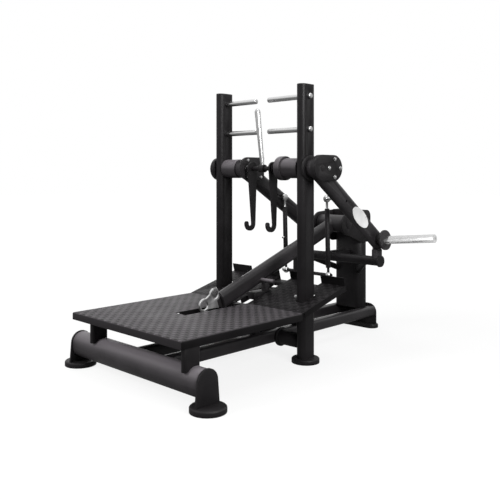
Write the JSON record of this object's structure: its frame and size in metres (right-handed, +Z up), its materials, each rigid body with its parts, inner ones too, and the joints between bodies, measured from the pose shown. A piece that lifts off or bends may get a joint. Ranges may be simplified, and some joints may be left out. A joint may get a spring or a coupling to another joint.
{
  "type": "belt squat machine",
  "caption": "Belt squat machine: a deck on a floor frame, two posts with grips, a hinged belt arm in a deck slot, and a weight arm with a plate horn.",
  "frame": {"origin": "on the floor, under the middle of the bounding box", "axes": "+Z up, +X towards the weight horn on the machine's right, +Y towards the column at the rear"},
  "size_m": [1.455, 2.091, 1.6],
  "materials": {
    "black_paint": "fine textured powder coat",
    "tread_plate": "raised tread pattern under black coat",
    "chrome": "bright",
    "alloy": "satin",
    "black_rubber": "matte"
  },
  "bodies": {
    "frame": {"front_base_tube": "black_paint", "front_end_plate_left": "black_paint", "front_end_plate_right": "black_paint", "front_foot_left": "black_rubber", "front_foot_right": "black_rubber", "post_foot_left": "black_rubber", "post_foot_right": "black_rubber", "base_rail_left": "black_paint", "base_rail_right": "black_paint", "post_tie_left": "black_paint", "post_tie_right": "black_paint", "centre_tie": "black_paint", "rear_end_plate": "black_paint", "rear_foot": "black_rubber", "post_left": "black_paint", "post_right": "black_paint", "grip_upper_left": "chrome", "grip_upper_right": "chrome", "grip_lower_left": "chrome", "grip_lower_right": "chrome", "deck": "tread_plate", "footplate_left": "tread_plate", "footplate_right": "tread_plate", "deck_support_left": "black_paint", "deck_support_right": "black_paint", "deck_bearer_front": "black_paint", "deck_bearer_rear": "black_paint", "footplate_bearer": "black_paint", "column": "black_paint", "column_head": "black_paint", "column_cheek_left": "black_paint", "column_cheek_right": "black_paint", "arm_axle": "chrome", "rest_beam": "black_paint", "rest_brace_left": "black_paint", "rest_brace_right": "black_paint", "beam_bracket": "black_paint", "rest_pad": "black_rubber", "bumper_stand": "black_paint", "arm_bumper": "black_rubber", "bearing_drum_left": "black_paint", "bearing_drum_right": "black_paint", "pivot_axle_left": "black_paint", "pivot_axle_right": "black_paint"},
    "belt_arm": {"belt_arm": "black_paint", "rod_bracket": "black_paint", "hitch_plate": "alloy"},
    "weight_arm": {"weight_arm": "black_paint", "arm_cover": "black_paint", "weight_horn": "chrome", "badge_plate": "alloy"},
    "inner_lever": {"inner_lever": "black_paint"},
    "link_rod_left": {"link_rod_left": "black_paint"},
    "link_rod_right": {"link_rod_right": "black_paint"},
    "catch": {"catch_shaft": "black_paint", "hook_left": "black_paint", "hook_right": "black_paint", "hand_lever": "chrome"}
  },
  "joints": [
    {"name": "belt_arm_swing", "type": "hinge", "parent": "frame", "child": "belt_arm", "pos_m": [-0.09954, 0.7005, 0.745], "axis": [-1, 0, 0], "range_deg": [0, 28]},
    {"name": "weight_arm_lift", "type": "hinge", "parent": "frame", "child": "weight_arm", "pos_m": [-0.09954, -0.0145, 1.117], "axis": [1, 0, 0], "range_deg": [0, 29.2]},
    {"name": "inner_lever_lift", "type": "hinge", "parent": "frame", "child": "inner_lever", "pos_m": [-0.09954, -0.0145, 1.117], "axis": [1, 0, 0], "range_deg": [0, 29.2]},
    {"name": "link_rod_left_turn", "type": "hinge", "parent": "belt_arm", "child": "link_rod_left", "pos_m": [-0.09954, 0.3355, 0.452], "axis": [1, 0, 0], "range_deg": [0, 7.6]},
    {"name": "link_rod_right_turn", "type": "hinge", "parent": "belt_arm", "child": "link_rod_right", "pos_m": [-0.09954, 0.3355, 0.452], "axis": [1, 0, 0], "range_deg": [0, 7.6]},
    {"name": "catch_turn", "type": "hinge", "parent": "frame", "child": "catch", "pos_m": [-0.09954, -0.0145, 1.117], "axis": [-1, 0, 0], "range_deg": [0, 13]}
  ],
  "couplings": [
    {"joint": "weight_arm_lift", "follows": "belt_arm_swing", "ratio": 1.04},
    {"joint": "inner_lever_lift", "follows": "belt_arm_swing", "ratio": 1.04},
    {"joint": "link_rod_left_turn", "follows": "belt_arm_swing", "ratio": 0.271},
    {"joint": "link_rod_right_turn", "follows": "belt_arm_swing", "ratio": 0.271}
  ]
}
